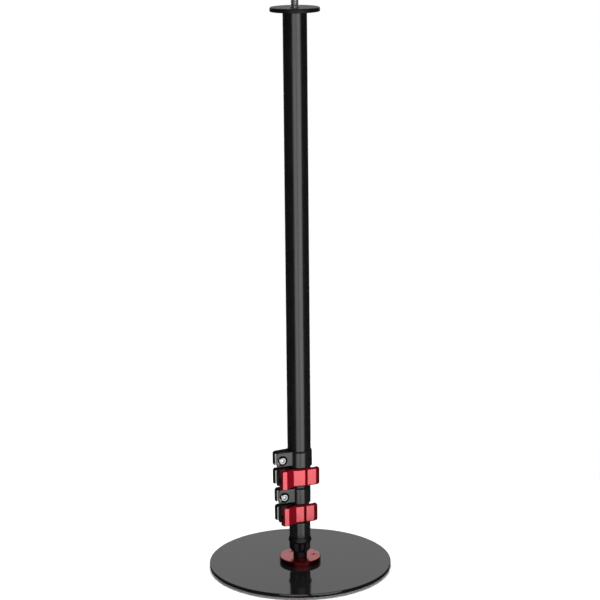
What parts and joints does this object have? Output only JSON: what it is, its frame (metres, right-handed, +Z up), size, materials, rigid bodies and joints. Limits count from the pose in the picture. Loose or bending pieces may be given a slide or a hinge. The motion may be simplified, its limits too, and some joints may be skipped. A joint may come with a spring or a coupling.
{
  "type": "camera monopod",
  "caption": "Black telescopic camera monopod on a round weighted disc base, with flip-lever tube locks, a lobed foot ring and a round camera plate with a screw.",
  "frame": {"origin": "centre of the floor contact, under the axis of the column", "axes": "+Z up along the column, -Y towards the front that the levers close across, +X towards the levers' finger ends"},
  "size_m": [0.22, 0.22, 0.6865],
  "materials": {
    "gloss_black_steel": "high gloss, mirror-like",
    "satin_black_tube": "satin black anodised",
    "black_casting": "semi-gloss black powder coat",
    "red_aluminium": "glossy red anodised",
    "bright_steel": "plated, bright",
    "black_plastic": "fine satin nylon",
    "pale_plastic": "plain acetal",
    "black_rubber": "matt rubber"
  },
  "bodies": {
    "base": {"base_disc": "gloss_black_steel", "base_flange": "red_aluminium", "centre_screw": "bright_steel", "foot_stem": "satin_black_tube", "foot_socket": "black_plastic", "lower_tube": "satin_black_tube", "foot_pad_1": "black_rubber", "foot_pad_2": "black_rubber", "foot_pad_3": "black_rubber", "foot_pad_4": "black_rubber", "foot_pad_5": "black_rubber", "foot_pad_6": "black_rubber", "flange_screw_1": "red_aluminium", "flange_screw_2": "red_aluminium", "flange_screw_3": "red_aluminium", "lower_guide_shell_front": "pale_plastic", "lower_guide_shell_back": "pale_plastic"},
    "foot_ring": {"foot_lock_ring": "black_plastic"},
    "middle_section": {"middle_tube": "satin_black_tube", "middle_guide_shell_front": "pale_plastic", "middle_guide_shell_back": "pale_plastic", "lower_lock_collar": "black_casting", "lower_lock_clamp_bolt": "bright_steel", "lower_lock_clamp_washer": "gloss_black_steel", "lower_lock_clamp_nut": "bright_steel", "lower_lock_tension_bolt": "bright_steel", "lower_lock_tension_nut": "bright_steel", "lower_lock_barrel_pin": "bright_steel", "lower_lock_cam_plate": "black_plastic"},
    "lower_lever": {"lower_lock_lever": "red_aluminium"},
    "upper_section": {"upper_tube": "satin_black_tube", "upper_lock_collar": "black_casting", "upper_lock_clamp_bolt": "bright_steel", "upper_lock_clamp_washer": "gloss_black_steel", "upper_lock_clamp_nut": "bright_steel", "upper_lock_tension_bolt": "bright_steel", "upper_lock_tension_nut": "bright_steel", "upper_lock_barrel_pin": "bright_steel", "upper_lock_cam_plate": "black_plastic", "top_plug": "black_plastic", "camera_plate": "satin_black_tube", "camera_screw": "bright_steel"},
    "upper_lever": {"upper_lock_lever": "red_aluminium"}
  },
  "joints": [
    {"name": "foot_ring_turn", "type": "hinge", "parent": "base", "child": "foot_ring", "pos_m": [0, 0, 0.0293], "axis": [0, 0, 1], "range_deg": [0, 120]},
    {"name": "middle_section_slide", "type": "slide", "parent": "base", "child": "middle_section", "axis": [0, 0, 1], "range_m": [0, 0.48]},
    {"name": "upper_section_slide", "type": "slide", "parent": "middle_section", "child": "upper_section", "axis": [0, 0, 1], "range_m": [0, 0.48]},
    {"name": "lower_lever_swing", "type": "hinge", "parent": "middle_section", "child": "lower_lever", "pos_m": [-0.01667, -0.02255, 0.0717], "axis": [0, 0, -1], "range_deg": [0, 100]},
    {"name": "upper_lever_swing", "type": "hinge", "parent": "upper_section", "child": "upper_lever", "pos_m": [-0.01849, -0.02338, 0.1181], "axis": [0, 0, -1], "range_deg": [0, 100]}
  ]
}
